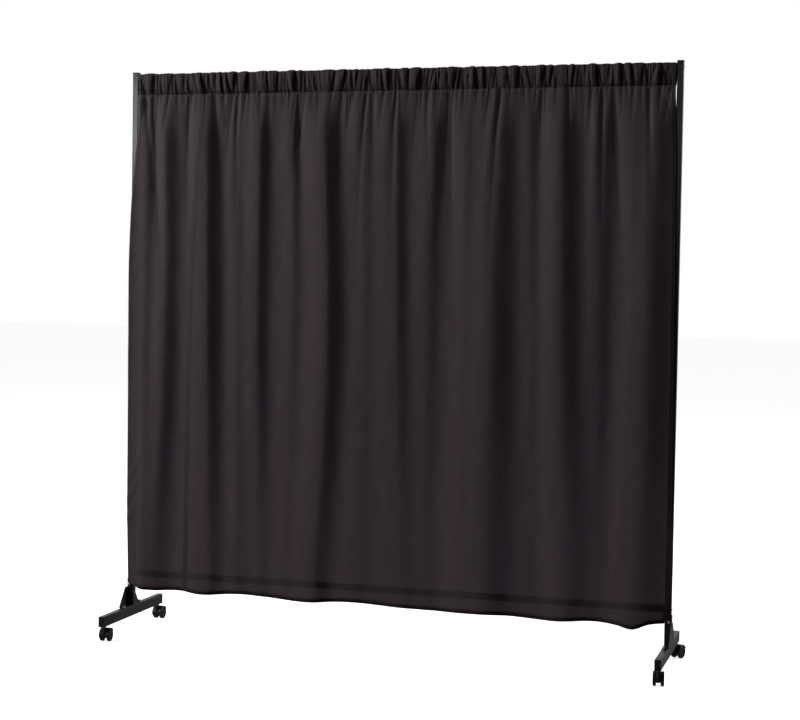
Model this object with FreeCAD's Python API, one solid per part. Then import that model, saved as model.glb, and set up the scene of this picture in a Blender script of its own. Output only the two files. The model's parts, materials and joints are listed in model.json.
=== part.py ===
import FreeCAD, Part
import math
import os

from FreeCAD import Placement, Rotation, Vector

# Rolling partition wall: two posts on caster feet, two rails and a gathered curtain.
# Millimetres. X runs along the wall, -Y is the curtain side, +Z is up, z = 0 is the floor
# and the origin lies midway between the posts.

# Overall sizes
FRAME_W = 1800.0          # post centre to post centre
OVERALL_H = 1870.0        # floor to the top of the post caps
FOOT_LEN = 456.0          # over the foot's end caps

# Tubes
POST = 20.0               # square post tube
POST_WALL = 1.2
RAIL = 20.0               # square rail tube
RAIL_WALL = 1.2
FOOT_W = 20.0
FOOT_H = 34.0
FOOT_WALL = 1.5
TUBE_CORNER = 2.0         # outside corner radius of every tube
TOP_RAIL_DROP = 8.0       # post cap top to the top of the top rail
LOWER_RAIL_RISE = 110.0   # foot top to the centre of the lower rail

# Plastic caps and the plugs in the rail ends
CAP_LIP = 0.5             # how far a post cap stands out from the post
CAP_T = 4.0
CAP_PLUG = 8.0
CAP_ROUND = 1.0
PLUG_WALL = 1.6
PLUG_CLEAR = 0.1          # side clearance of each plug in its tube
END_CAP_T = 3.0
END_CAP_PLUG = 12.0
RAIL_PLUG_LEN = 26.0

# Fasteners
BOLT_R = 3.0              # rail bolts and foot bolts
HOLE_CLEAR = 0.25
DOME_R = 5.5
DOME_H = 3.3
SOCKET_AF = 4.0
SOCKET_DEPTH = 2.0
HEX_AF = 10.0
HEX_H = 4.0
NUT_H = 5.0
WASHER_R = 6.5
WASHER_T = 1.2
THREAD_PAST = 1.5         # bolt end past its nut
LUG_BOLT_R = 2.5
LUG_HEX_AF = 8.0
LUG_HEX_H = 3.5

# Gusset brackets on the outer side of the posts
GUSSET_T = 2.0
GUSSET_HALF = 72.0        # half length along the foot
GUSSET_EDGE = 4.0         # upright edge at each bottom corner
GUSSET_SHOULDER = 64.0    # foot top to the shoulders under the lugs
GUSSET_TAPER = 86.0       # foot top to where the slanted edges would reach the lugs
GUSSET_RISE = 92.0        # foot top to the top of the plate
GUSSET_TOP_ROUND = 5.0
FLANGE_GAP = 1.0          # post to flange
FLANGE_ROUND = 5.0
BEND_R = 1.0              # inside radius of a bend
BEND_LEG = 1.0            # straight stretch between a bend and the plate
LUG_REACH = 15.0          # how far a lug wraps across the post
LUG_INSET = 2.0           # lug edge below the top of the plate
FOOT_BOLT_Y = 60.0
LUG_BOLT_IN = 6.5         # lug bolt axis in from the post's outer face
LUG_BOLT_UP = 8.0         # lug bolt axis above the lug's lower edge

# Twin-wheel swivel casters
STEM_R = 4.0
STEM_INSET = 23.0         # foot end to the stem's axis
STEM_RISE = 14.0          # thread above the foot's underside
COLLAR_R = 6.5
COLLAR_T = 4.0
STEM_NUT_AF = 13.0
STEM_NUT_H = 6.5
WHEEL_R = 20.0
FOOT_OVER_WHEEL = 12.0    # wheel top to the underside of a foot
WHEEL_W = 10.0
TRAIL = 18.0              # swivel axis to axle
WEB_HALF = 6.5            # half the housing's thickness between the wheels
WHEEL_GAP = 0.5           # web to wheel
HOOD_GAP = 1.5            # tread to hood
HOOD_T = 2.5
HOOD_REAR_DEG = 28.0      # where the hood stops above the axle at the back
HOOD_FRONT_DEG = 194.0
WEB_FLOOR_GAP = 14.0
AXLE_R = 2.5
RUN_CLEAR = 0.05          # radial clearance of wheel on axle and of housing on stem
BOSS_R = 6.4
NECK_GAP = 0.5            # housing top to stem collar
WHEEL_FACE = 2.0          # closed outer face of a wheel
TREAD_ROUND = 2.0
RIM_W = 3.5               # flat rim around the dished face
DISH_DEPTH = 1.2
HUB_R = 6.0

# Curtain: a rod pocket round the top rail and two sewn widths below it
FABRIC_T = 1.2            # thickness of the solids that stand for the cloth
POCKET_CLEAR = 0.3
POCKET_H = 68.0
POCKET_END_GAP = 2.0      # pocket end to post
POCKET_HANG_Y = -16.0     # how far forward the pocket's bottom seam hangs
FOLD_COUNT = 10
FOLD_DEPTH = 11.0
PANEL_CLEAR = 3.0         # posts' front face to the back of the folds
PANEL_OVER = 13.0         # how far the widths reach past the post centres
PANEL_TOP_IN = 14.0       # how far they stay inside the post centres at the pocket
SPREAD_Z = (1614.0, 1252.0)
SPREAD_OUT = (3.0, 13.0)
HEM_RISE = 54.0           # foot top to the lowest part of the hem
HEM_CORNER_LEFT = 27.0    # rise of the hem at each corner
HEM_CORNER_RIGHT = 14.0
HEM_CORNER_RUN = 75.0
SEAM_X = -690.0           # the upright seam between the two widths

# Derived places
POST_X = FRAME_W / 2
FOOT_Z = 2 * WHEEL_R + FOOT_OVER_WHEEL
FOOT_TOP = FOOT_Z + FOOT_H
POST_TOP = OVERALL_H - CAP_T
LOWER_RAIL_Z = FOOT_TOP + LOWER_RAIL_RISE
HEM_Z = FOOT_TOP + HEM_RISE
TOP_RAIL_Z = OVERALL_H - TOP_RAIL_DROP - RAIL / 2
STEM_Y = FOOT_LEN / 2 - STEM_INSET
GUSSET_TOP_Z = FOOT_TOP + GUSSET_RISE
LUG_LOW_Z = FOOT_TOP + GUSSET_SHOULDER
LUG_HIGH_Z = GUSSET_TOP_Z - LUG_INSET
LUG_BOLT_Z = LUG_LOW_Z + LUG_BOLT_UP
LUG_BOLT_X = POST_X + POST / 2 - LUG_BOLT_IN
POCKET_TOP_Z = TOP_RAIL_Z + RAIL / 2 + POCKET_CLEAR + FABRIC_T
STITCH_Z = POCKET_TOP_Z - POCKET_H

# Direction each caster's wheels trail, in degrees from +X
CASTERS = {
    "front_left": (-1, -1, 95.0),
    "rear_left": (-1, 1, 87.0),
    "front_right": (1, -1, 96.0),
    "rear_right": (1, 1, 68.0),
}


def rounded_rect(width, height, radius):
    """Face of a rounded rectangle centred on the origin in the XY plane."""
    w, h = width / 2 - radius, height / 2 - radius
    k = radius * math.sqrt(0.5)
    edges = []
    corners = ((w, h, 1, 1), (-w, h, -1, 1), (-w, -h, -1, -1), (w, -h, 1, -1))
    for i, (cx, cy, sx, sy) in enumerate(corners):
        side, top = Vector(cx + sx * radius, cy), Vector(cx, cy + sy * radius)
        start, end = (side, top) if sx * sy > 0 else (top, side)
        edges.append(Part.Arc(start, Vector(cx + sx * k, cy + sy * k), end).toShape())
        nx, ny, tx, ty = corners[(i + 1) % 4]
        ahead = Vector(nx, ny + ty * radius) if tx * ty < 0 else Vector(nx + tx * radius, ny)
        edges.append(Part.LineSegment(end, ahead).toShape())
    return Part.Face(Part.Wire(edges))


def prism(face, length):
    return face.extrude(Vector(0, 0, length))


def bar(width, height, radius, length):
    """Rounded bar along Z from z = 0."""
    return prism(rounded_rect(width, height, radius), length)


def tube(width, height, wall, length):
    """Rounded rectangular tube along Z from z = 0."""
    inner_corner = max(TUBE_CORNER - wall, 0.3)
    outside = bar(width, height, TUBE_CORNER, length)
    return outside.cut(bar(width - 2 * wall, height - 2 * wall, inner_corner, length))


def place(shape, x=0.0, y=0.0, z=0.0, axis=None, angle=0.0):
    """Copy of shape turned about the origin, then moved."""
    turn = Rotation(Vector(*axis), angle) if axis else Rotation()
    moved = shape.copy()
    moved.Placement = Placement(Vector(x, y, z), turn).multiply(shape.Placement)
    return moved


def z_to_x(shape, x=0.0, y=0.0, z=0.0):
    """Turn a shape built along Z to lie along X, its width along Y and height along Z."""
    return place(shape, x, y, z, (1, 1, 1), 120)


def z_to_y(shape, x=0.0, y=0.0, z=0.0):
    """Turn a shape built along Z to lie along -Y, its height along Z."""
    return place(shape, x, y, z, (1, 0, 0), 90)


def cylinder(radius, length, x=0.0, y=0.0, z=0.0, axis=(0, 0, 1)):
    return Part.makeCylinder(radius, length, Vector(x, y, z), Vector(*axis))


def polygon(points):
    return Part.Face(Part.makePolygon([Vector(*p) for p in points + points[:1]]))


def hexagon(across_flats, length):
    radius = across_flats / math.sqrt(3)
    corners = [(radius * math.cos(a), radius * math.sin(a), 0)
               for a in (math.radians(60 * i) for i in range(6))]
    return prism(polygon(corners), length)


def chamfered_hex(across_flats, length):
    """Hexagon with its upper corners turned off, as on a bolt head or nut."""
    corner = across_flats / math.sqrt(3)
    cone_base = corner + length / math.tan(math.radians(30))
    cone = Part.makeCone(cone_base, corner * 0.87, length)
    return hexagon(across_flats, length).common(cone)


def nut(across_flats, height, bore):
    return chamfered_hex(across_flats, height).cut(cylinder(bore, height))


def hex_bolt(radius, across_flats, head, shank):
    """Hex bolt with its head above z = 0 and its shank below."""
    return chamfered_hex(across_flats, head).fuse(cylinder(radius, shank, z=-shank))


def dome_bolt(radius, shank):
    """Socket bolt with a domed head above z = 0 and its shank below."""
    ball_r = (DOME_R ** 2 + DOME_H ** 2) / (2 * DOME_H)
    ball = Part.makeSphere(ball_r, Vector(0, 0, DOME_H - ball_r))
    head = ball.common(cylinder(DOME_R, DOME_H))
    socket = place(hexagon(SOCKET_AF, SOCKET_DEPTH), z=DOME_H - SOCKET_DEPTH)
    return head.cut(socket).fuse(cylinder(radius, shank, z=-shank))


def hollow_plug(width, height, corner, length):
    """Plug along Z from z = 0, open at its far end."""
    core = bar(width - 2 * PLUG_WALL, height - 2 * PLUG_WALL, corner / 2, length)
    return bar(width, height, corner, length).cut(core)


def post(side):
    x = side * POST_X
    shape = place(tube(POST, POST, POST_WALL, POST_TOP - FOOT_TOP), x, 0, FOOT_TOP)
    for z in (LOWER_RAIL_Z, TOP_RAIL_Z):
        shape = shape.cut(cylinder(BOLT_R + HOLE_CLEAR, POST, x - POST / 2, 0, z, (1, 0, 0)))
    lug_hole = cylinder(LUG_BOLT_R + HOLE_CLEAR, POST, side * LUG_BOLT_X, -POST / 2,
                        LUG_BOLT_Z, (0, 1, 0))
    return shape.cut(lug_hole)


def post_cap(side):
    width = POST + 2 * CAP_LIP
    flange = bar(width, width, TUBE_CORNER, CAP_T)
    flange = flange.makeFillet(CAP_ROUND, [e for e in flange.Edges
                                           if e.BoundBox.ZMin > CAP_T - 0.01])
    inner = POST - 2 * POST_WALL - 2 * PLUG_CLEAR
    plug = place(hollow_plug(inner, inner, 0.7, CAP_PLUG), z=-CAP_PLUG)
    return place(flange.fuse(plug), side * POST_X, 0, POST_TOP)


def rail(z):
    length = FRAME_W - POST
    return z_to_x(tube(RAIL, RAIL, RAIL_WALL, length), -length / 2, 0, z)


def rail_plug(side, z):
    """Plug in a rail's end, threaded for the bolt that comes through the post."""
    inner = RAIL - 2 * RAIL_WALL - 2 * PLUG_CLEAR
    body = bar(inner, inner, 0.7, RAIL_PLUG_LEN).cut(cylinder(BOLT_R, RAIL_PLUG_LEN))
    start = POST_X - POST / 2 - RAIL_PLUG_LEN
    x = start if side > 0 else -start - RAIL_PLUG_LEN
    return z_to_x(body, x, 0, z)


def rail_bolt(side, z):
    bolt = dome_bolt(BOLT_R, POST + RAIL_PLUG_LEN - 2 * THREAD_PAST)
    return place(bolt, side * (POST_X + POST / 2), 0, z, (0, 1, 0), 90 * side)


def foot(side):
    length = FOOT_LEN - 2 * END_CAP_T
    middle = FOOT_Z + FOOT_H / 2
    shape = z_to_y(tube(FOOT_W, FOOT_H, FOOT_WALL, length), side * POST_X, length / 2, middle)
    for y in (-1, 1):
        drill = cylinder(STEM_R + HOLE_CLEAR, FOOT_H / 2, side * POST_X, y * STEM_Y, FOOT_Z)
        shape = shape.cut(drill)
        drill = cylinder(BOLT_R + HOLE_CLEAR, FOOT_H / 2, side * POST_X, y * FOOT_BOLT_Y, middle)
        shape = shape.cut(drill)
    return shape


def foot_end_cap(side, end):
    flange = bar(FOOT_W, FOOT_H, TUBE_CORNER, END_CAP_T)
    flange = flange.makeFillet(CAP_ROUND, [e for e in flange.Edges
                                           if e.BoundBox.ZMin > END_CAP_T - 0.01])
    plug_w = FOOT_W - 2 * FOOT_WALL - 2 * PLUG_CLEAR
    plug_h = FOOT_H - 2 * FOOT_WALL - 2 * PLUG_CLEAR
    plug = place(hollow_plug(plug_w, plug_h, 0.7, END_CAP_PLUG), z=-END_CAP_PLUG)
    y = end * (FOOT_LEN / 2 - END_CAP_T)
    return place(flange.fuse(plug), side * POST_X, y, FOOT_Z + FOOT_H / 2, (1, 0, 0), -90 * end)


def bend(thickness, leg_a, leg_b, length):
    """Bent strip along Z: its outer corner at the origin, legs towards +X and +Y."""
    inner, outer = BEND_R, BEND_R + thickness
    k = math.sqrt(0.5)
    pts = [Vector(outer, 0), Vector(leg_a, 0), Vector(leg_a, thickness),
           Vector(outer, thickness), Vector(thickness, outer), Vector(thickness, leg_b),
           Vector(0, leg_b), Vector(0, outer)]
    arc_in = Part.Arc(pts[3], Vector(outer - inner * k, outer - inner * k), pts[4])
    arc_out = Part.Arc(pts[7], Vector(outer - outer * k, outer - outer * k), pts[0])
    lines = [Part.LineSegment(pts[i], pts[j]).toShape()
             for i, j in ((0, 1), (1, 2), (2, 3), (4, 5), (5, 6), (6, 7))]
    wire = Part.Wire(lines[:3] + [arc_in.toShape()] + lines[3:] + [arc_out.toShape()])
    return prism(Part.Face(wire), length)


def gusset(side):
    """Sheet bracket: a tapered plate, two flanges on the foot and two lugs on the post.

    The plate narrows in a step under each lug, which is bent from its upright edge.

    It is built for the left post, from x = 0 on the plate's outer face inwards across
    the post, then mirrored for the right one.
    """
    lug_y = POST / 2 + GUSSET_T
    bend_reach = GUSSET_T + BEND_R + BEND_LEG
    taper = (GUSSET_TAPER - GUSSET_SHOULDER) / (GUSSET_TAPER - GUSSET_EDGE)
    shoulder_y = lug_y + (GUSSET_HALF - lug_y) * taper
    rear_half = [(0, GUSSET_HALF, FOOT_TOP), (0, GUSSET_HALF, FOOT_TOP + GUSSET_EDGE),
                 (0, shoulder_y, LUG_LOW_Z), (0, lug_y, LUG_LOW_Z), (0, lug_y, GUSSET_TOP_Z)]
    outline = [(x, -y, z) for x, y, z in reversed(rear_half)] + rear_half
    plate = polygon(outline).extrude(Vector(GUSSET_T, 0, 0))
    top_corners = [e for e in plate.Edges
                   if e.BoundBox.ZMin > GUSSET_TOP_Z - 0.01 and e.BoundBox.YLength < 0.01]
    plate = plate.makeFillet(GUSSET_TOP_ROUND, top_corners)
    flange_from = POST / 2 + FLANGE_GAP
    flange_len = GUSSET_HALF - flange_from
    flange_reach = GUSSET_T + POST / 2 + FOOT_W / 2 - FLANGE_GAP
    lug_h = LUG_HIGH_Z - GUSSET_TOP_ROUND - LUG_LOW_Z
    for sign in (-1, 1):
        # Room for the bends, then the bent strips themselves
        low = flange_from if sign > 0 else -GUSSET_HALF
        plate = plate.cut(Part.makeBox(GUSSET_T, flange_len, bend_reach, Vector(0, low, FOOT_TOP)))
        strip = bend(GUSSET_T, flange_reach, bend_reach, flange_len)
        strip = place(strip, 0, low + flange_len, FOOT_TOP, (1, 0, 0), 90)
        plate = plate.fuse(strip)
        edge = lug_y - bend_reach if sign > 0 else -lug_y
        plate = plate.cut(Part.makeBox(GUSSET_T, bend_reach, lug_h, Vector(0, edge, LUG_LOW_Z)))
        lug = bend(GUSSET_T, LUG_REACH + GUSSET_T, bend_reach, lug_h)
        if sign > 0:
            lug = lug.mirror(Vector(0, 0, 0), Vector(0, 1, 0))
        plate = plate.fuse(place(lug, 0, sign * lug_y, LUG_LOW_Z))
        bolt_x = GUSSET_T + POST / 2
        hole = cylinder(BOLT_R + HOLE_CLEAR, GUSSET_T, bolt_x, sign * FOOT_BOLT_Y, FOOT_TOP)
        plate = plate.cut(hole)
    hole = cylinder(LUG_BOLT_R + HOLE_CLEAR, 2 * lug_y, GUSSET_T + LUG_BOLT_IN, -lug_y,
                    LUG_BOLT_Z, (0, 1, 0))
    plate = plate.cut(hole).removeSplitter()
    inner_corners = [e for e in plate.Edges
                     if abs(e.BoundBox.XMin - flange_reach) < 0.01 and e.BoundBox.XLength < 0.01
                     and abs(e.BoundBox.ZLength - GUSSET_T) < 0.01]
    plate = plate.makeFillet(FLANGE_ROUND, inner_corners)
    outer_face = POST_X + POST / 2 + GUSSET_T
    plate = place(plate, -outer_face)
    return plate.mirror(Vector(0, 0, 0), Vector(1, 0, 0)) if side > 0 else plate


def foot_bolt(side, end):
    shank = WASHER_T + GUSSET_T + FOOT_WALL + NUT_H + THREAD_PAST
    bolt = hex_bolt(BOLT_R, HEX_AF, HEX_H, shank)
    return place(bolt, side * POST_X, end * FOOT_BOLT_Y, FOOT_TOP + GUSSET_T + WASHER_T)


def foot_washer(side, end):
    ring = cylinder(WASHER_R, WASHER_T).cut(cylinder(BOLT_R + HOLE_CLEAR, WASHER_T))
    return place(ring, side * POST_X, end * FOOT_BOLT_Y, FOOT_TOP + GUSSET_T)


def foot_nut(side, end):
    shape = nut(HEX_AF, NUT_H, BOLT_R)
    z = FOOT_TOP - FOOT_WALL
    return place(shape, side * POST_X, end * FOOT_BOLT_Y, z, (1, 0, 0), 180)


def lug_bolt(side):
    shank = POST + 2 * GUSSET_T + LUG_HEX_H + THREAD_PAST
    bolt = hex_bolt(LUG_BOLT_R, LUG_HEX_AF, LUG_HEX_H, shank)
    return place(bolt, side * LUG_BOLT_X, -POST / 2 - GUSSET_T, LUG_BOLT_Z, (1, 0, 0), 90)


def lug_nut(side):
    shape = nut(LUG_HEX_AF, LUG_HEX_H, LUG_BOLT_R)
    return place(shape, side * LUG_BOLT_X, POST / 2 + GUSSET_T, LUG_BOLT_Z, (1, 0, 0), -90)


def caster_top():
    """Height of the caster housing's top, under the stem's collar."""
    return FOOT_Z - COLLAR_T - NECK_GAP


def on_caster(shape, name):
    """Move a shape from caster coordinates, swivel axis at the origin, to its foot."""
    side, end, heading = CASTERS[name]
    return place(shape, side * POST_X, end * STEM_Y, 0, (0, 0, 1), heading)


def stem_foot_z():
    return WEB_FLOOR_GAP + 5.0


def caster_stem(name):
    foot_z = stem_foot_z()
    shape = cylinder(STEM_R, FOOT_Z + STEM_RISE - foot_z, z=foot_z)
    shape = shape.fuse(cylinder(COLLAR_R, COLLAR_T, z=FOOT_Z - COLLAR_T))
    tip = [e for e in shape.Edges if e.BoundBox.ZMin > FOOT_Z + STEM_RISE - 0.01]
    return on_caster(shape.makeChamfer(0.8, tip), name)


def caster_nut(name):
    side, end, heading = CASTERS[name]
    shape = nut(STEM_NUT_AF, STEM_NUT_H, STEM_R)
    return place(shape, side * POST_X, end * STEM_Y, FOOT_Z + FOOT_WALL, (0, 0, 1), 30)


def ring_sector(inner, outer, start_deg, end_deg, width):
    """Ring sector round the axle, in the caster's XZ plane, centred across it."""
    def point(radius, degrees):
        a = math.radians(degrees)
        return Vector(TRAIL + radius * math.cos(a), 0, WHEEL_R + radius * math.sin(a))
    mid = (start_deg + end_deg) / 2
    outside = Part.Arc(point(outer, start_deg), point(outer, mid), point(outer, end_deg))
    inside = Part.Arc(point(inner, end_deg), point(inner, mid), point(inner, start_deg))
    sides = [Part.LineSegment(point(outer, end_deg), point(inner, end_deg)),
             Part.LineSegment(point(inner, start_deg), point(outer, start_deg))]
    wire = Part.Wire([outside.toShape(), sides[0].toShape(), inside.toShape(),
                      sides[1].toShape()])
    return Part.Face(wire).extrude(Vector(0, width, 0)).translated(Vector(0, -width / 2, 0))


def caster_housing(name):
    """Hood over both wheels, the web between them and the boss round the stem."""
    half_width = WEB_HALF + WHEEL_GAP + WHEEL_W
    hood_in = WHEEL_R + HOOD_GAP
    hood = ring_sector(hood_in, hood_in + HOOD_T, HOOD_REAR_DEG, HOOD_FRONT_DEG, 2 * half_width)
    hood_edges = [e for e in hood.Edges if e.BoundBox.YLength < 0.01
                  and abs(e.Length - max(x.Length for x in hood.Edges
                                         if x.BoundBox.YLength < 0.01)) < 0.01]
    hood = hood.makeFillet(HOOD_T * 0.4, hood_edges)
    web = Part.makeCylinder(hood_in + 0.5, 2 * WEB_HALF, Vector(TRAIL, -WEB_HALF, WHEEL_R),
                            Vector(0, 1, 0))
    room = 2 * (hood_in + HOOD_T)
    below = Part.makeBox(2 * room, room, room, Vector(-room, -room / 2, WEB_FLOOR_GAP - room))
    boss_from = WEB_FLOOR_GAP
    boss = cylinder(BOSS_R, caster_top() - boss_from, z=boss_from)
    boss = boss.makeFillet(1.0, [e for e in boss.Edges
                                 if e.BoundBox.ZMin > caster_top() - 0.01])
    shape = hood.fuse(web.cut(below)).fuse(boss)
    bore_z = stem_foot_z() - NECK_GAP
    shape = shape.cut(cylinder(STEM_R + RUN_CLEAR, caster_top() - bore_z, z=bore_z))
    axle_hole = Part.makeCylinder(AXLE_R, 2 * WEB_HALF, Vector(TRAIL, -WEB_HALF, WHEEL_R),
                                  Vector(0, 1, 0))
    return on_caster(shape.cut(axle_hole).removeSplitter(), name)


def axle_half():
    """Half the axle's length: it ends inside both wheels' closed faces."""
    return WEB_HALF + WHEEL_GAP + WHEEL_W - WHEEL_FACE - NECK_GAP


def caster_axle(name):
    shape = Part.makeCylinder(AXLE_R, 2 * axle_half(), Vector(TRAIL, -axle_half(), WHEEL_R),
                              Vector(0, 1, 0))
    return on_caster(shape, name)


def caster_wheel(name, hand):
    """Wheel with a dished outer face; hand is -1 or 1 for its side of the web."""
    body = cylinder(WHEEL_R, WHEEL_W)
    body = body.makeFillet(TREAD_ROUND, [e for e in body.Edges if len(e.Vertexes) == 1])
    body = body.cut(cylinder(AXLE_R + RUN_CLEAR, WHEEL_W - WHEEL_FACE))
    dish_r = WHEEL_R - TREAD_ROUND - RIM_W
    dish = cylinder(dish_r, DISH_DEPTH, z=WHEEL_W - DISH_DEPTH)
    dish = dish.cut(cylinder(HUB_R, DISH_DEPTH, z=WHEEL_W - DISH_DEPTH))
    hollow = cylinder(dish_r, WHEEL_W - 3 * WHEEL_FACE).cut(cylinder(HUB_R, WHEEL_W))
    body = body.cut(dish).cut(hollow)
    shape = place(body, TRAIL, hand * (WEB_HALF + WHEEL_GAP), WHEEL_R, (1, 0, 0), -90 * hand)
    return on_caster(shape, name)


def curtain_pocket():
    """Flattened sleeve round the top rail, hanging to its bottom seam."""
    half = RAIL / 2 + POCKET_CLEAR
    rail_low = TOP_RAIL_Z - RAIL / 2
    outer_half = half + FABRIC_T
    seam = FABRIC_T / 2

    def profile(y_half, top, shoulder, bottom, seam_half):
        corners = [(0, y_half, top), (0, y_half, shoulder),
                   (0, POCKET_HANG_Y + seam_half, bottom), (0, POCKET_HANG_Y - seam_half, bottom),
                   (0, -y_half, shoulder), (0, -y_half, top)]
        return polygon(corners)

    length = FRAME_W - POST - 2 * POCKET_END_GAP
    outside = profile(outer_half, POCKET_TOP_Z, rail_low, STITCH_Z, seam)
    inside = profile(half, POCKET_TOP_Z - FABRIC_T, rail_low, STITCH_Z + 3 * FABRIC_T, seam / 4)
    shape = outside.extrude(Vector(length, 0, 0)).cut(inside.extrude(Vector(length, 0, 0)))
    return place(shape, -length / 2)


def fold_band(start_x, end_x):
    """Band of even folds seen from above, from start_x to end_x, as a face at z = 0."""
    half_pitch = (FRAME_W + 2 * PANEL_OVER) / (2 * FOLD_COUNT)
    radius = ((half_pitch / 2) ** 2 + FOLD_DEPTH ** 2) / (2 * FOLD_DEPTH)
    swing = math.asin(half_pitch / 2 / radius)
    middle_y = -(POST / 2 + PANEL_CLEAR + FOLD_DEPTH + FABRIC_T / 2)
    left = -(POST_X + PANEL_OVER)

    def half_wave(index, offset, forward):
        sign = 1 if index % 2 else -1
        centre = Vector(left + (index + 0.5) * half_pitch,
                        middle_y - sign * (radius - FOLD_DEPTH))
        r = radius + sign * offset
        steps = (-1, 0, 1) if forward else (1, 0, -1)
        pts = [centre + Vector(r * math.sin(s * swing), sign * r * math.cos(s * swing))
               for s in steps]
        return Part.Arc(*pts).toShape()

    count = 2 * FOLD_COUNT
    front = [half_wave(i, -FABRIC_T / 2, True) for i in range(count)]
    back = [half_wave(i, FABRIC_T / 2, False) for i in reversed(range(count))]
    ends = [Part.LineSegment(front[-1].Vertexes[-1].Point, back[0].Vertexes[0].Point),
            Part.LineSegment(back[-1].Vertexes[-1].Point, front[0].Vertexes[0].Point)]
    band = Part.Face(Part.Wire(front + [ends[0].toShape()] + back + [ends[1].toShape()]))
    room = 4 * FOLD_DEPTH + FABRIC_T
    window = Part.makePlane(end_x - start_x, room, Vector(start_x, middle_y - room / 2, 0))
    return band.common(window)


def curtain_outline():
    """Front outline of the two widths together, as a thick slab to trim them with."""
    reach = POST_X + PANEL_OVER
    side_pts = [(POST_X - PANEL_TOP_IN, STITCH_Z), (POST_X + SPREAD_OUT[0], SPREAD_Z[0]),
                (POST_X + SPREAD_OUT[1], SPREAD_Z[1])]
    hem = [(reach, HEM_Z + HEM_CORNER_RIGHT), (reach - HEM_CORNER_RUN, HEM_Z),
           (-reach + HEM_CORNER_RUN, HEM_Z), (-reach, HEM_Z + HEM_CORNER_LEFT)]
    left = [(-x, z) for x, z in reversed(side_pts)]
    depth = POST + 2 * (PANEL_CLEAR + 2 * FOLD_DEPTH + FABRIC_T)
    face = polygon([(x, -depth, z) for x, z in side_pts + hem + left])
    return face.extrude(Vector(0, depth, 0))


def curtain_width(start_x, end_x):
    band = fold_band(start_x, end_x)
    sheet = place(band, z=HEM_Z).extrude(Vector(0, 0, STITCH_Z - HEM_Z))
    return sheet.common(curtain_outline())


def save(name, shapes):
    """Write one node as one STEP file; a list becomes a group of solids."""
    solids = [s for shape in shapes for s in shape.Solids]
    node = solids[0] if len(solids) == 1 else Part.makeCompound(solids)
    node.exportStep("parts/" + name + ".step")
    print(name, len(solids), "valid" if node.isValid() else "NOT VALID")


def main():
    os.makedirs("parts", exist_ok=True)
    sides = (("left", -1), ("right", 1))
    ends = (("front", -1), ("rear", 1))
    for label, side in sides:
        save("post_" + label, [post(side)])
        save("post_cap_" + label, [post_cap(side)])
        save("foot_" + label, [foot(side)])
        save("gusset_" + label, [gusset(side)])
        for end_label, end in ends:
            save("foot_cap_" + end_label + "_" + label, [foot_end_cap(side, end)])
    save("top_rail", [rail(TOP_RAIL_Z)])
    save("lower_rail", [rail(LOWER_RAIL_Z)])
    rail_ends = [(side, z) for side in (-1, 1) for z in (TOP_RAIL_Z, LOWER_RAIL_Z)]
    save("rail_plugs", [rail_plug(*end) for end in rail_ends])
    save("rail_bolts", [rail_bolt(*end) for end in rail_ends])
    corners = [(side, end) for side in (-1, 1) for end in (-1, 1)]
    save("foot_bolts", [foot_bolt(*corner) for corner in corners])
    save("foot_washers", [foot_washer(*corner) for corner in corners])
    save("foot_nuts", [foot_nut(*corner) for corner in corners])
    save("lug_bolts", [lug_bolt(side) for side in (-1, 1)])
    save("lug_nuts", [lug_nut(side) for side in (-1, 1)])
    save("caster_nuts", [caster_nut(name) for name in CASTERS])
    for name in CASTERS:
        save("caster_stem_" + name, [caster_stem(name)])
        save("caster_housing_" + name, [caster_housing(name)])
        save("caster_axle_" + name, [caster_axle(name)])
        save("caster_wheel_a_" + name, [caster_wheel(name, -1)])
        save("caster_wheel_b_" + name, [caster_wheel(name, 1)])
    reach = POST_X + PANEL_OVER
    save("curtain_pocket", [curtain_pocket()])
    save("curtain_narrow_width", [curtain_width(-reach, SEAM_X)])
    save("curtain_wide_width", [curtain_width(SEAM_X, reach)])


main()
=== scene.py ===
import json
import math

import bpy
import numpy as np
from mathutils import Matrix, Vector

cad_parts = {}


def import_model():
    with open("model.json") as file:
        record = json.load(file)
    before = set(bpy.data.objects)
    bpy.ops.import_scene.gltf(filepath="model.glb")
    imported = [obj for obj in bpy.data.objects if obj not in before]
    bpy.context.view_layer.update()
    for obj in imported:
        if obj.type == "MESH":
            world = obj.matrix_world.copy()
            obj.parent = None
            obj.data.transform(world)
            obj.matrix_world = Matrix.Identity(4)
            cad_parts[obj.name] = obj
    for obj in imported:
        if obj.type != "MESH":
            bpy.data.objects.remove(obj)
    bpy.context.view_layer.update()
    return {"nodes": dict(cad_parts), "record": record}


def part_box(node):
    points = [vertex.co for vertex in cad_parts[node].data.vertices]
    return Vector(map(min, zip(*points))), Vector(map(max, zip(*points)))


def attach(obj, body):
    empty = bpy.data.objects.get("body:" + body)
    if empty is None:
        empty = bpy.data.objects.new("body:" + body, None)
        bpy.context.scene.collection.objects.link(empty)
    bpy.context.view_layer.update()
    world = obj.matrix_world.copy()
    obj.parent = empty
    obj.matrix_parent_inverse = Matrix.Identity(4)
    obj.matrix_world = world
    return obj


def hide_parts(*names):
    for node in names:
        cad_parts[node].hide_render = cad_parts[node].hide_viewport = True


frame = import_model()

# ---------------------------------------------------------------- places from the frame
POST_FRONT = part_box("post_left")[0][1]         # front face of the posts
STITCH_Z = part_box("curtain_pocket")[0][2]      # bottom seam of the rod pocket
rail_low, rail_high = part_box("top_rail")
HALF_GAP = rail_high[0]                        # wall centre to the inside of a post
RAIL_HALF = (rail_high[2] - rail_low[2]) / 2
RAIL_Z = (rail_low[2] + rail_high[2]) / 2

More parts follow.
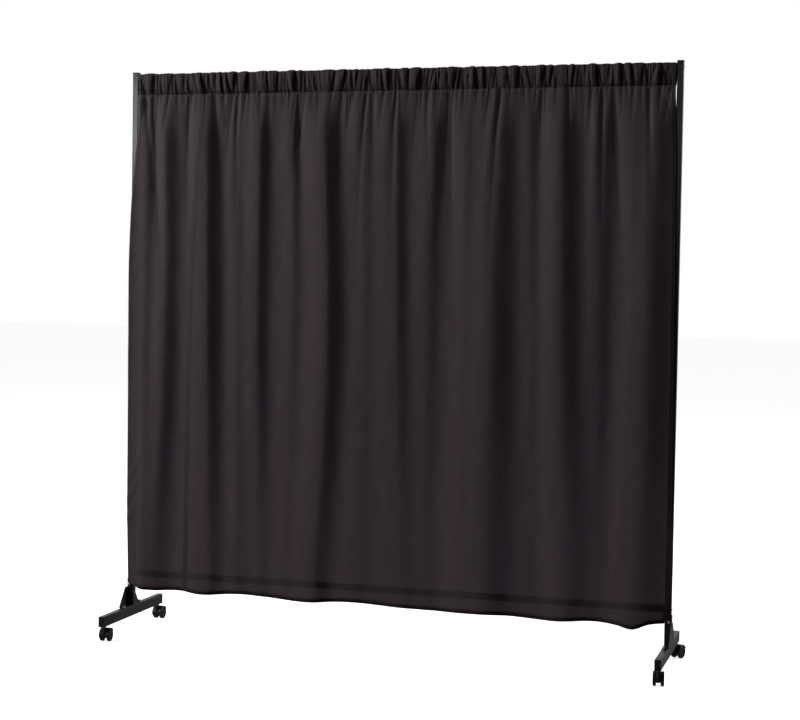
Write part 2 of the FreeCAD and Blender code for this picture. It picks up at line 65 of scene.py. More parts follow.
# ---------------------------------------------------------------- curtain measures, in metres
CLOTH_GAP = 0.0030        # posts' front face to the cloth
STITCH_BACK = 0.0075      # cloth in front of the posts to the stitching between them
LAYER = 0.0008            # spacing of two layers sewn together
SNUG = 0.0009             # rail to the pocket's middle line
HEM_FOLD = 0.012
HEM_RISES = (HEM_FOLD, HEM_FOLD / 2, 0.0015, 0.0)    # turned layer's rows, above the edge
SIDE_FOLD = 0.012
SEW_INSET = 0.0015        # edge of a fold's turned layer to the stitches that hold it
STITCH_PROUD = 0.0002     # stitches' middle in front of the cloth
SEAM_WIDTH = 0.017
SEAM_ROWS = 220
HEM_Z_MEAN = 0.146        # usual height of the bottom edge
PANEL_LENGTH = STITCH_Z - HEM_Z_MEAN + HEM_FOLD      # cloth from its lower end to the stitching
POCKET_LEFT = 0.886       # the pocket's ends, from the middle
POCKET_RIGHT = 0.889
COLUMNS = 620
PANEL_ROWS = 120
ROW_CROWDING = 1.35       # over 1 brings the panel's rows closer together near the stitching
POCKET_ROWS = 38

rng = np.random.default_rng(41)


# ---------------------------------------------------------------- scene and node helpers
def put(name, data):
    """New object in the scene that shows a mesh, a lamp or a camera."""
    piece = bpy.data.objects.new(name, data)
    bpy.context.scene.collection.objects.link(piece)
    return piece


def new_material(name):
    material = bpy.data.materials.new(name)
    material.use_nodes = True
    nodes = material.node_tree.nodes
    return material, nodes, material.node_tree.links, nodes["Principled BSDF"]


def noise(nodes, links, vector, scale, detail=3.0):
    node = nodes.new("ShaderNodeTexNoise")
    node.inputs["Scale"].default_value = scale
    node.inputs["Detail"].default_value = detail
    node.inputs["Roughness"].default_value = 0.55
    links.new(vector, node.inputs["Vector"])
    return node.outputs["Fac"]


def ramp(nodes, links, value, stops):
    node = nodes.new("ShaderNodeValToRGB")
    elements = node.color_ramp.elements
    while len(elements) < len(stops):
        elements.new(0.5)
    for element, (place, colour) in zip(elements, stops):
        element.position = place
        element.color = (*colour, 1.0)
    links.new(value, node.inputs["Fac"])
    return node.outputs["Color"]


def grey(value):
    return (value, value, value)


def remap(nodes, links, value, low, high):
    node = nodes.new("ShaderNodeMapRange")
    node.inputs["To Min"].default_value = low
    node.inputs["To Max"].default_value = high
    links.new(value, node.inputs["Value"])
    return node.outputs["Result"]


def combine(nodes, links, operation, first, second):
    """Math node on a socket and either another socket or a number."""
    node = nodes.new("ShaderNodeMath")
    node.operation = operation
    links.new(first, node.inputs[0])
    if isinstance(second, float):
        node.inputs[1].default_value = second
    else:
        links.new(second, node.inputs[1])
    return node.outputs["Value"]


def bump(nodes, links, shader, height, distance, strength=1.0, under=None):
    """Bump the shader's normal, on top of an earlier bump if one is given."""
    node = nodes.new("ShaderNodeBump")
    node.inputs["Distance"].default_value = distance
    node.inputs["Strength"].default_value = strength
    links.new(height, node.inputs["Height"])
    if under is not None:
        links.new(under, node.inputs["Normal"])
    links.new(node.outputs["Normal"], shader.inputs["Normal"])
    return node.outputs["Normal"]


def blend_shaders(nodes, links, share, first, second):
    """Mix two shaders; share is a socket or a number."""
    mix = nodes.new("ShaderNodeMixShader")
    if isinstance(share, float):
        mix.inputs["Fac"].default_value = share
    else:
        links.new(share, mix.inputs["Fac"])
    links.new(first, mix.inputs[1])
    links.new(second, mix.inputs[2])
    return mix.outputs["Shader"]


def stretched(nodes, links, vector, scale):
    node = nodes.new("ShaderNodeMapping")
    node.inputs["Scale"].default_value = scale
    links.new(vector, node.inputs["Vector"])
    return node.outputs["Vector"]


def coordinates(nodes, output="Object"):
    return nodes.new("ShaderNodeTexCoord").outputs[output]


def mottle(nodes, links, shader, where, scale, dark, light, rough):
    """Soft patches that vary a surface's colour and roughness together."""
    patches = noise(nodes, links, where, scale, detail=4.0)
    colour = ramp(nodes, links, patches, [(0.3, dark), (0.7, light)])
    links.new(colour, shader.inputs["Base Color"])
    links.new(remap(nodes, links, patches, *rough), shader.inputs["Roughness"])


# ---------------------------------------------------------------- materials
def black_coat():
    """Semi-gloss powder coat: fine orange peel, slightly uneven sheen."""
    material, nodes, links, shader = new_material("black_powder_coat")
    where = coordinates(nodes)
    mottle(nodes, links, shader, where, scale=9.0, dark=(0.0078, 0.0062, 0.0066),
           light=(0.0125, 0.0098, 0.0105), rough=(0.26, 0.36))
    peel = noise(nodes, links, where, scale=620.0, detail=2.0)
    bump(nodes, links, shader, peel, distance=0.00012, strength=0.55)
    return material


def black_plastic(name, tone, rough, grain):
    """Moulded plastic with a fine spark-eroded grain."""
    material, nodes, links, shader = new_material(name)
    where = coordinates(nodes)
    mottle(nodes, links, shader, where, scale=60.0, dark=grey(tone * 0.8),
           light=grey(tone * 1.25), rough=rough)
    shader.inputs["Specular IOR Level"].default_value = 0.30
    bump(nodes, links, shader, noise(nodes, links, where, grain), distance=0.00008, strength=0.5)
    return material


def bright_zinc():
    """Bright zinc plate with a very fine grain and a few dull patches."""
    material, nodes, links, shader = new_material("bright_zinc")
    where = coordinates(nodes)
    mottle(nodes, links, shader, where, scale=240.0, dark=(0.52, 0.53, 0.55),
           light=(0.74, 0.74, 0.75), rough=(0.16, 0.34))
    shader.inputs["Metallic"].default_value = 1.0
    grain = noise(nodes, links, where, scale=1500.0, detail=2.0)
    bump(nodes, links, shader, grain, distance=0.00004, strength=0.4)
    return material


def weave_height(nodes, links, cloth, pitch):
    """Height of a plain weave: warp over weft in turn, from two crossed waves."""
    waves = []
    for axis in "XY":
        node = nodes.new("ShaderNodeTexWave")
        node.bands_direction = axis
        node.wave_profile = "SIN"
        node.inputs["Scale"].default_value = math.pi / (10 * pitch)
        node.inputs["Distortion"].default_value = 0.4
        node.inputs["Detail"].default_value = 1.0
        links.new(cloth, node.inputs["Vector"])
        waves.append(node.outputs["Fac"])
    return combine(nodes, links, "MULTIPLY", *waves)


def crinkles(nodes, links, cloth):
    """Fine gathers: full on the rod pocket, faint just below its stitching, then none."""
    split = nodes.new("ShaderNodeSeparateXYZ")
    links.new(cloth, split.inputs["Vector"])
    # 0 at the cloth's lower end, 0.5 at the stitching
    up = combine(nodes, links, "MULTIPLY", split.outputs["Y"], 0.5 / PANEL_LENGTH)
    share = ramp(nodes, links, up, [(0.34, grey(0.0)), (0.495, grey(0.18)), (0.502, grey(1.0))])
    upright = stretched(nodes, links, cloth, (105.0, 11.0, 1.0))
    streaks = noise(nodes, links, upright, scale=1.0, detail=2.5)
    return combine(nodes, links, "MULTIPLY", streaks, share)


def curtain_cloth():
    """Thin charcoal polyester: a little light passes straight between the threads."""
    material, nodes, links, shader = new_material("curtain_cloth")
    cloth = coordinates(nodes, "UV")
    slub = noise(nodes, links, stretched(nodes, links, cloth, (9.0, 260.0, 1.0)), scale=1.0)
    streak = noise(nodes, links, stretched(nodes, links, cloth, (420.0, 14.0, 1.0)), scale=1.0)
    both = combine(nodes, links, "ADD", slub, streak)
    mean = combine(nodes, links, "MULTIPLY", both, 0.5)
    colour = ramp(nodes, links, mean, [(0.36, (0.0345, 0.0251, 0.0308)),
                                       (0.64, (0.0485, 0.0353, 0.0433))])
    links.new(colour, shader.inputs["Base Color"])
    shader.inputs["Roughness"].default_value = 0.65
    shader.inputs["Specular IOR Level"].default_value = 0.12
    shader.inputs["Sheen Weight"].default_value = 0.05
    shader.inputs["Sheen Roughness"].default_value = 0.45
    gathered = bump(nodes, links, shader, crinkles(nodes, links, cloth), distance=0.0085)
    weave = weave_height(nodes, links, cloth, pitch=0.0008)
    bump(nodes, links, shader, weave, distance=0.0002, strength=0.6, under=gathered)
    through = nodes.new("ShaderNodeBsdfTransparent")
    through.inputs["Color"].default_value = (1.0, 0.78, 0.91, 1.0)
    open_share = 0.0065
    surface = blend_shaders(nodes, links, open_share, shader.outputs["BSDF"],
                            through.outputs["BSDF"])
    links.new(surface, nodes["Material Output"].inputs["Surface"])
    return material


def thread():
    """Dark polyester thread with a slight twist."""
    material, nodes, links, shader = new_material("sewing_thread")
    along = stretched(nodes, links, coordinates(nodes), (1.0, 1.0, 3.0))
    twist = noise(nodes, links, along, scale=900.0, detail=2.0)
    colour = ramp(nodes, links, twist, [(0.35, (0.010, 0.008, 0.009)),
                                        (0.65, (0.022, 0.018, 0.020))])
    links.new(colour, shader.inputs["Base Color"])
    shader.inputs["Roughness"].default_value = 0.6
    bump(nodes, links, shader, twist, distance=0.0001, strength=0.5)
    return material


COAT = black_coat()
CAP = black_plastic("cap_plastic", tone=0.010, rough=(0.38, 0.50), grain=1400.0)
HOUSING = black_plastic("housing_plastic", tone=0.012, rough=(0.30, 0.42), grain=1100.0)
WHEEL = black_plastic("wheel_nylon", tone=0.011, rough=(0.36, 0.50), grain=900.0)
ZINC = bright_zinc()
CLOTH = curtain_cloth()
THREAD = thread()


def dress_frame():
    """Give every carried-over CAD node its finish."""
    finish = {"black_coat": COAT, "black_plastic": CAP, "zinc_steel": ZINC,
              "wheel_nylon": WHEEL, "curtain_cloth": CLOTH}
    slots = {part["node"]: part["material_slot"] for part in frame["record"]["subparts"]}
    for name, piece in frame["nodes"].items():
        material = HOUSING if name.startswith("caster_housing") else finish[slots[name]]
        piece.data.materials.clear()
        piece.data.materials.append(material)


# ---------------------------------------------------------------- curtain shape
# Heights at which a fold's place and depth are given: near the pocket, half way, at the hem
FOLD_Z = (1.662, 1.002, 0.242)

# Main folds: crest place at the three heights, depth there, then spread to each side
FOLDS = [
    ((-0.850, -0.858, -0.860), (0.006, 0.008, 0.006), 0.030, 0.022),
    ((-0.784, -0.780, -0.818), (0.013, 0.019, 0.013), 0.045, 0.030),
    ((-0.636, -0.628, -0.618), (0.014, 0.019, 0.013), 0.070, 0.028),
    ((-0.535, -0.530, -0.520), (0.007, 0.005, 0.004), 0.030, 0.020),
    ((-0.449, -0.454, -0.440), (0.013, 0.012, 0.004), 0.055, 0.022),
    ((-0.338, -0.335, -0.360), (0.009, 0.005, 0.003), 0.035, 0.022),
    ((-0.228, -0.210, -0.246), (0.017, 0.019, 0.015), 0.065, 0.028),
    ((-0.105, -0.095, -0.110), (0.008, 0.004, 0.004), 0.040, 0.026),
    ((0.008, 0.020, 0.040), (0.013, 0.012, 0.005), 0.070, 0.026),
    ((0.132, 0.120, 0.115), (0.012, 0.007, 0.004), 0.045, 0.026),
    ((0.235, 0.232, 0.225), (0.007, 0.004, 0.003), 0.040, 0.026),
    ((0.334, 0.328, 0.322), (0.021, 0.026, 0.023), 0.075, 0.052),
    ((0.440, 0.452, 0.455), (0.007, 0.005, 0.003), 0.035, 0.022),
    ((0.543, 0.552, 0.582), (0.020, 0.024, 0.018), 0.060, 0.042),
    ((0.664, 0.668, 0.665), (0.015, 0.011, 0.004), 0.045, 0.026),
    ((0.758, 0.758, 0.728), (0.007, 0.007, 0.006), 0.040, 0.028),
    ((0.823, 0.818, 0.803), (0.016, 0.021, 0.021), 0.045, 0.045),
]
FOLD_GAIN = 1.22          # all folds deepened by this much
FOLD_GROWTH = 0.35        # folds broaden by this share for each metre down

# Side edges: how far they stand from the middle at each height, left then right
EDGE_Z = (1.864, 1.796, 1.722, 1.616, 1.452, 1.252, 1.002, 0.612, 0.442, 0.292, 0.227, 0.152)
EDGE_LEFT = (0.886, 0.883, 0.881, 0.891, 0.908, 0.916, 0.916, 0.914, 0.913, 0.910, 0.908, 0.906)
EDGE_RIGHT = (0.888, 0.888, 0.891, 0.896, 0.898, 0.901, 0.903, 0.907, 0.909, 0.911, 0.909, 0.890)

# Bottom edge: place along the wall and height
HEM_X = (-0.908, -0.885, -0.865, -0.820, -0.710, -0.655, -0.500, -0.390, -0.290, -0.120, 0.050,
         0.216, 0.380, 0.540, 0.690, 0.745, 0.795, 0.845, 0.890)
HEM_Z = (0.176, 0.160, 0.150, 0.146, 0.149, 0.143, 0.151, 0.147, 0.142, 0.150, 0.144,
         0.143, 0.145, 0.139, 0.146, 0.141, 0.132, 0.149, 0.154)

# Upright seam between the two sewn widths: place along the wall and height
SEAM_X = (-0.640, -0.661, -0.674, -0.684, -0.692, -0.695, -0.699)
SEAM_Z = (1.796, 1.614, 1.398, 1.121, 0.816, 0.523, 0.147)

# Slanted creases pulled towards the lower corners: place, height and half length of each
PULLS = ((-0.893, 0.475, 0.055), (-0.899, 0.400, 0.045), (-0.880, 0.560, 0.050),
         (0.872, 0.190, 0.050), (0.850, 0.165, 0.040))
PULL_DEPTH = 0.0030
PULL_WIDTH = 0.009
PULL_SIDE, PULL_RISE = 0.45, 0.89         # direction of a pulled crease

# Gathers of the pocket: spacings of its creases, how far they run down the panel, their shares
SPACINGS = [0.009, 0.014, 0.021, 0.031]
SPACING_SHARES = [0.28, 0.32, 0.25, 0.15]
RUNS = [0.04, 0.09, 0.20, 0.42]
RUN_SHARES = [0.30, 0.28, 0.26, 0.16]
CREASE_LEAN = 0.013       # sideways shift of a leaning crease, stitching to top
USUAL_PUFF = 0.021        # width at which a puff has its full height
PUFF_BASE = 0.0014        # height of a puff all round the pocket
PUFF_LOW = 0.0028         # added at the stitching, less towards the top
PUFF_MIDDLE = 0.0064      # added half way up, none at either end
RUFFLE = 0.0011           # small ruffles along the top edge
SETTLE = 0.024            # share of the way round the pocket in which it leaves the panel
PANEL_PUFF = 0.0042       # cloth stands proud by this just below the stitching
RIPPLES = 26


def smooth(values, places, at):
    """Cubic curve through given values; places may run either way."""
    order = np.argsort(places)
    x, y = np.asarray(places)[order], np.asarray(values, float)[order]
    slope = np.gradient(y, x)
    i = np.clip(np.searchsorted(x, at) - 1, 0, len(x) - 2)
    h = x[i + 1] - x[i]
    t = np.clip((at - x[i]) / h, 0, 1)
    a, b = 2 * t ** 3 - 3 * t ** 2 + 1, t ** 3 - 2 * t ** 2 + t
    c, d = -2 * t ** 3 + 3 * t ** 2, t ** 3 - t ** 2
    return a * y[i] + b * h * slope[i] + c * y[i + 1] + d * h * slope[i + 1]


def step(low, high, value):
    """0 below low, 1 above high, and a smooth rise between them."""
    t = np.clip((value - low) / (high - low), 0, 1)
    return t * t * (3 - 2 * t)


def crease_list():
    """Creases of the gathered pocket: place at the stitching and at the top, sizes, lengths."""
    at, places = -HALF_GAP - 0.01, []       # past both ends, so that the outer puffs are whole
    while at < HALF_GAP + 0.03:
        places.append(at)
        at += rng.choice(SPACINGS, p=SPACING_SHARES) * rng.uniform(0.8, 1.25)
    low = np.array(places)
    count = len(low)
    lean = rng.choice([-CREASE_LEAN, 0.0, CREASE_LEAN], count)
    high = np.sort(low + lean + rng.normal(0, 0.004, count))
    puff = rng.uniform(0.20, 1.0, count)
    length = rng.choice(RUNS, count, p=RUN_SHARES)
    length = length * rng.uniform(0.8, 1.3, count)
    depth = rng.uniform(0.0016, 0.0072, count) * (0.6 + 3.2 * length)
    drift = rng.normal(0, 0.06, count)
    skew = rng.uniform(0.6, 1.8, count)
    return low, high, puff, length, depth, drift, skew


def ripple_list():
    """Angle, wavelength, height and phase of the small waves all over the cloth."""
    angle = rng.normal(0, 0.5, RIPPLES)
    length = rng.uniform(0.035, 0.16, RIPPLES)
    height = rng.uniform(0.00004, 0.00015, RIPPLES)
    phase = rng.uniform(0, 6.28, RIPPLES)
    return list(zip(angle, length, height, phase))


(CREASE_LOW, CREASE_HIGH, PUFF, CREASE_LENGTH,
 CREASE_DEPTH, CREASE_DRIFT, CREASE_SKEW) = crease_list()
RIPPLE_WAVES = ripple_list()


def puckers(x, rise):
    """Lopsided puffs with sharp creases between them, 0 to 1, at a rise up the pocket."""
    bounds = CREASE_LOW + (CREASE_HIGH - CREASE_LOW) * rise
    i = np.clip(np.searchsorted(bounds, x) - 1, 0, len(bounds) - 2)
    t = np.clip((x - bounds[i]) / np.maximum(bounds[i + 1] - bounds[i], 0.004), 0, 1)
    t = t ** CREASE_SKEW[i]
    wide = np.clip((bounds[i + 1] - bounds[i]) / USUAL_PUFF, 0.15, 1.25)
    return PUFF[i] * wide * (4 * t * (1 - t)) ** 0.5


def gathers(x, below):
    """Valleys that run down from the pocket's creases, widen and die out."""
    total = np.zeros_like(x)
    creases = zip(CREASE_LOW, CREASE_LENGTH, CREASE_DEPTH, CREASE_DRIFT)
    for place, length, depth, drift in creases:
        fade = np.exp(-(below / length) ** 1.2)
        width = 0.0045 + 0.05 * below
        offset = np.abs(x - place - drift * below) / width
        total += depth * fade * np.exp(-offset ** 1.35)
    return total


def fold_depth(x, z):
    """How far the cloth stands forward of its rear surface at wall place x and height z."""
    depth = np.zeros_like(x)
    for places, sizes, left, right in FOLDS:
        crest = smooth(places, FOLD_Z, z)
        size = smooth(sizes, FOLD_Z, z)
        grow = 1 + FOLD_GROWTH * (FOLD_Z[0] - z)
        offset = x - crest
        spread = np.where(offset < 0, left, right) * grow
        depth += size * np.exp(-(offset / spread) ** 2)
    below = np.maximum(STITCH_Z - z, 0)
    return FOLD_GAIN * depth * (0.15 + 0.85 * step(0, 0.16, below))


def wrinkles(x, z):
    """Faint creases: slanted ones near the lower corners, small ripples elsewhere."""
    total = np.zeros_like(x)
    for px, pz, reach in PULLS:
        lean = -1.0 if px < 0 else 1.0
        along = (x - px) * PULL_SIDE * -lean + (z - pz) * PULL_RISE
        across = (x - px) * PULL_RISE + (z - pz) * PULL_SIDE * lean
        total += PULL_DEPTH * np.exp(-(across / PULL_WIDTH) ** 2 - (along / reach) ** 2)
    for angle, length, height, phase in RIPPLE_WAVES:
        wave = 2 * math.pi * (x * math.cos(angle) + z * math.sin(angle)) / length
        total += height * np.sin(wave + phase)
    return total


def seam_x(z):
    return smooth(SEAM_X, SEAM_Z, z)


def between(left, right, share):
    """Wall place at a share of the way from the left edge to the right one."""
    return -left + share * (left + right)


def panel_x(share, z):
    return between(smooth(EDGE_LEFT, EDGE_Z, z), smooth(EDGE_RIGHT, EDGE_Z, z), share)


def panel_y(x, z):
    """Front surface of the hanging cloth."""
    below = np.maximum(STITCH_Z - z, 0)
    base = POST_FRONT - CLOTH_GAP
    stitch_y = base + STITCH_BACK
    lean = step(0, 0.10, below)
    near_post = step(HALF_GAP - 0.05, HALF_GAP - 0.005, np.abs(x))
    lean = np.maximum(lean, near_post * step(0.0, 0.03, below))
    rear = stitch_y + (base - stitch_y) * lean
    puff = PANEL_PUFF * np.exp(-below / 0.25) * step(0.0, 0.01, below)
    front = rear - fold_depth(x, z) - puff + gathers(x, below)
    return np.minimum(front, rear) - wrinkles(x, z) * step(0.02, 0.2, below)


def pocket_curve(t):
    """Pocket's middle line seen from its end: place and outward direction at a share t.

    It runs from the stitching at the front, over the rail, to the stitching at the back.
    """
    front = POST_FRONT - CLOTH_GAP + STITCH_BACK
    snug = RAIL_HALF + SNUG
    pts = np.array([(front, STITCH_Z), (front - 0.004, STITCH_Z + 0.016),
                    (-snug - 0.0006, RAIL_Z - RAIL_HALF), (-snug, RAIL_Z),
                    (-snug, RAIL_Z + RAIL_HALF - 0.0015), (-snug + 0.0022, RAIL_Z + snug),
                    (0.0, RAIL_Z + snug + 0.0003), (snug - 0.0022, RAIL_Z + snug),
                    (snug, RAIL_Z + RAIL_HALF - 0.0015), (snug, RAIL_Z),
                    (snug + 0.0004, RAIL_Z - RAIL_HALF), (front + 0.007, STITCH_Z + 0.018),
                    (front + LAYER, STITCH_Z)])
    gaps = np.linalg.norm(np.diff(pts, axis=0), axis=1)
    length = np.concatenate([[0], np.cumsum(gaps)]) / gaps.sum()

    def at(share):
        return np.array([np.interp(share, length, pts[:, k]) for k in range(2)])

    nudge = 1e-3
    y, z = at(t)
    dy, dz = at(t + nudge) - at(t - nudge)
    size = np.hypot(dy, dz)
    return y, z, -dz / size, dy / size


def sheet_rows():
    """(x, y, z) grids of the whole sheet: hem fold, panel, then round the rod pocket."""
    share = np.linspace(0, 1, COLUMNS)
    turned = 0.5 * SIDE_FOLD / HALF_GAP                 # side fold as a share of the width
    share = np.concatenate([[turned, turned / 2], share, [1 - turned / 2, 1 - turned]])
    behind = np.zeros(len(share))
    behind[:2] = behind[-2:] = LAYER

    # The bottom edge's height depends on the place along it, and the other way round
    hem_z = np.full(len(share), HEM_Z_MEAN)
    for _ in range(3):
        hem_z = smooth(HEM_Z, HEM_X, panel_x(share, hem_z))

    # Panel rows from the stitching down, closer together near it
    panel = []
    for fraction in np.linspace(0, 1, PANEL_ROWS) ** ROW_CROWDING:
        z = STITCH_Z + (hem_z - STITCH_Z) * fraction
        x = panel_x(share, z)
        panel.append((x, panel_y(x, z) + behind, z))

    # Hem: up behind the panel's bottom edge
    rows = []
    x, y, z = panel[-1]
    for rise in HEM_RISES:
        rows.append((x, y + (LAYER if rise else LAYER / 2), z + rise))
    rows += panel[::-1]

    # Pocket, from just above the front stitching to the back one
    stitch_y = panel[0][1]
    x = between(POCKET_LEFT, POCKET_RIGHT, share)
    for fraction in np.linspace(0, 1, POCKET_ROWS)[1:]:
        y, z, ny, nz = pocket_curve(fraction)
        rise = 1 - abs(2 * fraction - 1)
        bulge = math.sin(math.pi * rise)
        height = PUFF_BASE + PUFF_LOW * (1 - rise) + PUFF_MIDDLE * bulge
        ruffle = np.abs(np.sin(x * 210 + 4 * np.sin(x * 41) + 5 * fraction))
        out = puckers(x, min(rise * 1.15, 1.0)) * height + RUFFLE * ruffle * rise ** 2
        row_y = y + ny * out
        row_z = z + nz * out
        if fraction < 0.5:
            row_y = stitch_y + (row_y - stitch_y) * step(0.0, SETTLE, fraction)
            row_z = np.maximum(row_z, STITCH_Z + 0.0005)
        rows.append((x, row_y + behind, row_z))
    return [np.array(part) for part in zip(*rows)]


def grid_mesh(name, xs, ys, zs, material):
    """Mesh of quads over a grid, with a UV map in metres of cloth."""
    rows, columns = xs.shape
    grid = np.stack([xs, ys, zs], axis=-1)
    index = np.arange(rows * columns).reshape(rows, columns)
    quads = np.stack([index[:-1, :-1], index[:-1, 1:], index[1:, 1:], index[1:, :-1]], axis=-1)
    mesh = bpy.data.meshes.new(name)
    mesh.from_pydata(grid.reshape(-1, 3).tolist(), [], quads.reshape(-1, 4).tolist())
    across = np.linalg.norm(np.diff(grid, axis=1), axis=2).mean(axis=0)
    along = np.linalg.norm(np.diff(grid, axis=0), axis=2).mean(axis=1)
    u = np.concatenate([[0], np.cumsum(across)])
    v = np.concatenate([[0], np.cumsum(along)])
    uv = np.stack(np.broadcast_arrays(u[None, :], v[:, None]), axis=-1).reshape(-1, 2)
    layer = mesh.uv_layers.new(name="cloth")
    loops = np.empty(len(mesh.loops), dtype=np.int64)
    mesh.loops.foreach_get("vertex_index", loops)
    layer.data.foreach_set("uv", uv[loops].ravel())
    mesh.polygons.foreach_set("use_smooth", [True] * len(mesh.polygons))
    mesh.materials.append(material)
    mesh.update()
    return put(name, mesh)


def seam_strip():
    """Two turned allowances behind the seam."""
    z = np.linspace(0.152, STITCH_Z - 0.001, SEAM_ROWS)
    offsets = np.array([-1, -0.55, -0.08, 0.08, 0.55, 1.0]) * SEAM_WIDTH / 2
    xs = seam_x(z)[:, None] + offsets[None, :]
    zs = np.repeat(z[:, None], len(offsets), axis=1)
    pinch = np.where(np.abs(offsets) < 0.002, 0.2, 1.0) * LAYER
    ys = panel_y(xs, zs) + pinch[None, :]
    return grid_mesh("curtain_seam", xs, ys, zs, CLOTH)


def stitch_run(points, pitch=0.0040, length=0.0027, radius=0.00038):
    """Short rods of thread along a line of points, as vertices and faces."""
    sides = 5
    rings = ((0.0, 0.35), (0.22, 1.0), (0.78, 1.0), (1.0, 0.35))    # place along, share of radius
    gaps = np.linalg.norm(np.diff(points, axis=0), axis=1)
    at = np.concatenate([[0], np.cumsum(gaps)])
    verts, faces = [], []

    def on_line(d):
        return np.array([np.interp(d, at, points[:, k]) for k in range(3)])

    for d in np.arange(pitch, at[-1] - pitch, pitch):
        a, b = on_line(d), on_line(d + length)
        axis = (b - a) / max(np.linalg.norm(b - a), 1e-9)
        side = np.cross(axis, (0, 1, 0))
        side /= max(np.linalg.norm(side), 1e-9)
        up = np.cross(side, axis)
        base = len(verts)
        for along, width in rings:
            centre = a + (b - a) * along
            for k in range(sides):
                turn = 2 * math.pi * k / sides
                verts.append(centre + radius * width * (math.cos(turn) * side
                                                        + math.sin(turn) * up))
        for ring in range(len(rings) - 1):
            for k in range(sides):
                this, following = base + ring * sides + k, base + ring * sides + (k + 1) % sides
                faces.append((this, following, following + sides, this + sides))
        last = base + (len(rings) - 1) * sides
        faces.append(tuple(base + k for k in reversed(range(sides))))
        faces.append(tuple(last + k for k in range(sides)))
    return verts, faces


def stitches(name, runs):
    """One mesh of all the stitches along several lines."""
    verts, faces = [], []
    for points in runs:
        more, quads = stitch_run(points)
        base = len(verts)
        verts += [tuple(v) for v in more]
        faces += [tuple(base + i for i in face) for face in quads]
    mesh = bpy.data.meshes.new(name)
    mesh.from_pydata(verts, [], faces)
    mesh.materials.append(THREAD)
    mesh.polygons.foreach_set("use_smooth", [True] * len(mesh.polygons))
    return put(name, mesh)


def curtain():
    xs, ys, zs = sheet_rows()
    sheet = grid_mesh("curtain_sheet", xs, ys, zs, CLOTH)
    seam = seam_strip()

    def line(x, z):
        return np.stack([x, panel_y(x, z) - STITCH_PROUD, z], axis=-1)

    bottom_row = len(HEM_RISES)
    hem_x = xs[bottom_row, 2:-2]
    hem_z = zs[bottom_row, 2:-2] + HEM_FOLD - SEW_INSET
    pocket_z = np.full(900, STITCH_Z - 0.0004)
    pocket_x = panel_x(np.linspace(0, 1, len(pocket_z)), np.array(STITCH_Z))
    side_z = np.linspace(0.17, STITCH_Z - 0.003, 500)
    left_x = panel_x(0, side_z) + SIDE_FOLD - SEW_INSET
    right_x = panel_x(1, side_z) - SIDE_FOLD + SEW_INSET
    runs = [line(hem_x, hem_z), line(pocket_x, pocket_z), line(left_x, side_z),
            line(right_x, side_z)]
    for offset in (-0.35, 0.35):
        runs.append(line(seam_x(side_z) + offset * SEAM_WIDTH, side_z))
    sewn = stitches("curtain_stitching", runs)
    for piece in (sheet, seam, sewn):
        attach(piece, "frame")
    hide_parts("curtain_pocket", "curtain_narrow_width", "curtain_wide_width")


# ---------------------------------------------------------------- room, light and camera
FLOOR_GLOW = 0.72
FLOOR_MIRRORED = 0.16     # what the painted steel reflects of it
FLOOR_BOUNCE = 0.03       # the floor lights the dark cloth as a grey one would
FRONT_LEVEL = 0.012       # brightness of the room on the camera's side
BACK_LEVEL = 0.50         # and of the white backdrop behind the wall


def floor():
    """White to look at, but dimmer as a light and in reflections."""
    mesh = bpy.data.meshes.new("floor")
    size = 40.0
    mesh.from_pydata([(-size, -size, 0), (size, -size, 0), (size, size, 0), (-size, size, 0)],
                     [], [(0, 1, 2, 3)])
    piece = put("floor", mesh)
    material, nodes, links, shader = new_material("floor_paint")
    tint = noise(nodes, links, coordinates(nodes), scale=0.7, detail=2.0)
    colour = ramp(nodes, links, tint, [(0.3, grey(0.90)), (0.7, grey(0.93))])
    links.new(colour, shader.inputs["Base Color"])
    shader.inputs["Roughness"].default_value = 0.9
    shader.inputs["Specular IOR Level"].default_value = 0.1
    shader.inputs["Emission Color"].default_value = (1, 1, 1, 1)
    shader.inputs["Emission Strength"].default_value = FLOOR_GLOW
    dim = nodes.new("ShaderNodeBsdfDiffuse")
    dim.inputs["Color"].default_value = (*grey(FLOOR_BOUNCE), 1.0)
    mirrored = nodes.new("ShaderNodeEmission")
    mirrored.inputs["Color"].default_value = (1.0, 0.90, 0.91, 1.0)
    mirrored.inputs["Strength"].default_value = FLOOR_MIRRORED
    path = nodes.new("ShaderNodeLightPath").outputs
    unseen = blend_shaders(nodes, links, path["Is Glossy Ray"], dim.outputs["BSDF"],
                           mirrored.outputs["Emission"])
    surface = blend_shaders(nodes, links, path["Is Camera Ray"], unseen, shader.outputs["BSDF"])
    links.new(surface, nodes["Material Output"].inputs["Surface"])
    mesh.materials.append(material)


def world():
    """White backdrop all round to look at; as light it is white behind and dim in front."""
    room = bpy.data.worlds.new("studio")
    bpy.context.scene.world = room
    room.use_nodes = True
    nodes, links = room.node_tree.nodes, room.node_tree.links
    background = nodes["Background"]
    split = nodes.new("ShaderNodeSeparateXYZ")
    links.new(coordinates(nodes, "Generated"), split.inputs["Vector"])
    level = nodes.new("ShaderNodeMapRange")
    level.interpolation_type = "SMOOTHSTEP"
    level.inputs["From Min"].default_value = -0.20
    level.inputs["From Max"].default_value = 0.25
    level.inputs["To Min"].default_value = FRONT_LEVEL
    level.inputs["To Max"].default_value = BACK_LEVEL
    links.new(split.outputs["Y"], level.inputs["Value"])
    path = nodes.new("ShaderNodeLightPath")
    pick = nodes.new("ShaderNodeMix")
    pick.inputs["B"].default_value = 1.0
    links.new(path.outputs["Is Camera Ray"], pick.inputs["Factor"])
    links.new(level.outputs["Result"], pick.inputs["A"])
    links.new(pick.outputs["Result"], background.inputs["Strength"])
    background.inputs["Color"].default_value = (1, 1, 1, 1)


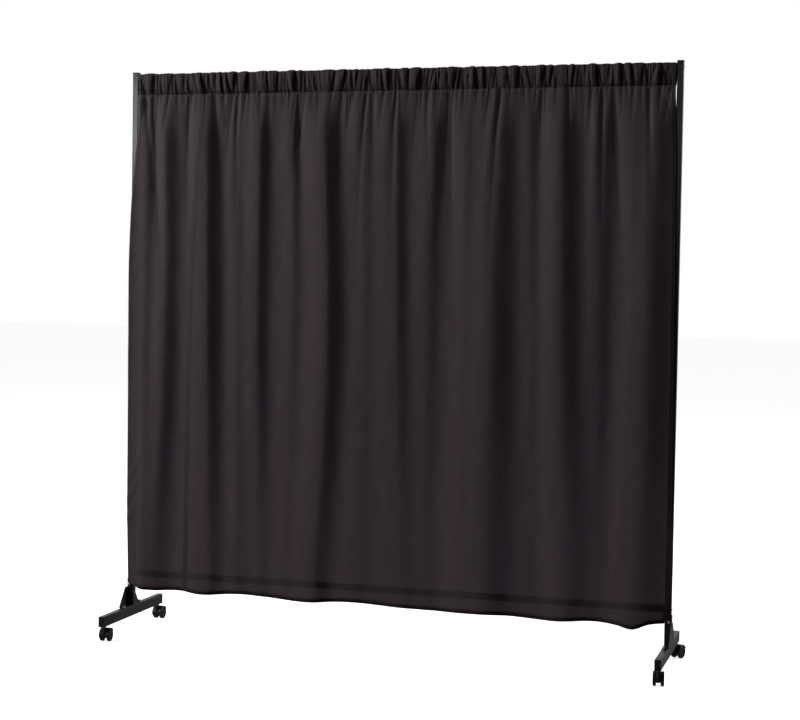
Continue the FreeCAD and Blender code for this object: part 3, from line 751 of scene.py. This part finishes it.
def hang_lamp(name, light, place, target):
    """Put a lamp at a place and aim it."""
    lamp = put(name, light)
    lamp.location = place
    lamp.rotation_mode = "QUATERNION"
    lamp.rotation_quaternion = (Vector(target) - Vector(place)).to_track_quat("-Z", "Y")


def softbox(name, place, target, size, power):
    light = bpy.data.lights.new(name, "AREA")
    light.shape = "SQUARE"
    light.size = size
    light.energy = power
    hang_lamp(name, light, place, target)


def snoot(name, place, target, spread_deg, power):
    """Narrow beam that gives one post its highlight."""
    light = bpy.data.lights.new(name, "SPOT")
    light.spot_size = math.radians(spread_deg)
    light.spot_blend = 1.0
    light.shadow_soft_size = 0.05
    light.energy = power
    hang_lamp(name, light, place, target)


def camera():
    """Product view from the front and a little to the right, slightly above mid height."""
    azimuth, elevation, roll = math.radians(16.24), math.radians(2.38), math.radians(0.93)
    distance, target = 5.322, Vector((0.029, 0.0, 0.938))
    back = Vector((math.sin(azimuth) * math.cos(elevation),
                   -math.cos(azimuth) * math.cos(elevation), math.sin(elevation)))
    right = Vector((math.cos(azimuth), math.sin(azimuth), 0.0))
    up = back.cross(right)
    right_rolled = math.cos(roll) * right + math.sin(roll) * up
    up_rolled = -math.sin(roll) * right + math.cos(roll) * up
    data = bpy.data.cameras.new("camera")
    data.sensor_width = 36.0
    data.lens = 74.88
    data.clip_start, data.clip_end = 0.1, 200.0
    lens = put("camera", data)
    turn = Matrix((right_rolled, up_rolled, back)).transposed().to_4x4()
    lens.matrix_world = Matrix.Translation(target + back * distance) @ turn
    bpy.context.scene.camera = lens


dress_frame()
curtain()
floor()
world()
softbox("key", place=(-6.6, -2.9, 3.6), target=(0.0, 0.0, 1.0), size=2.0, power=520.0)
softbox("fill", place=(-3.3, -5.1, 2.7), target=(-0.9, 0.0, 1.7), size=0.8, power=10.0)
softbox("back", place=(5.6, 4.2, 3.4), target=(0.0, 0.0, 0.9), size=2.0, power=300.0)
snoot("left_snoot", place=(-3.32, -5.1, 2.14), target=(-0.92, 0.0, 1.68), spread_deg=5.0,
      power=150.0)
snoot("right_snoot", place=(0.28, -5.1, 2.14), target=(0.92, 0.0, 1.55), spread_deg=12.0,
      power=16.0)
camera()
bpy.context.scene.view_settings.view_transform = "Standard"
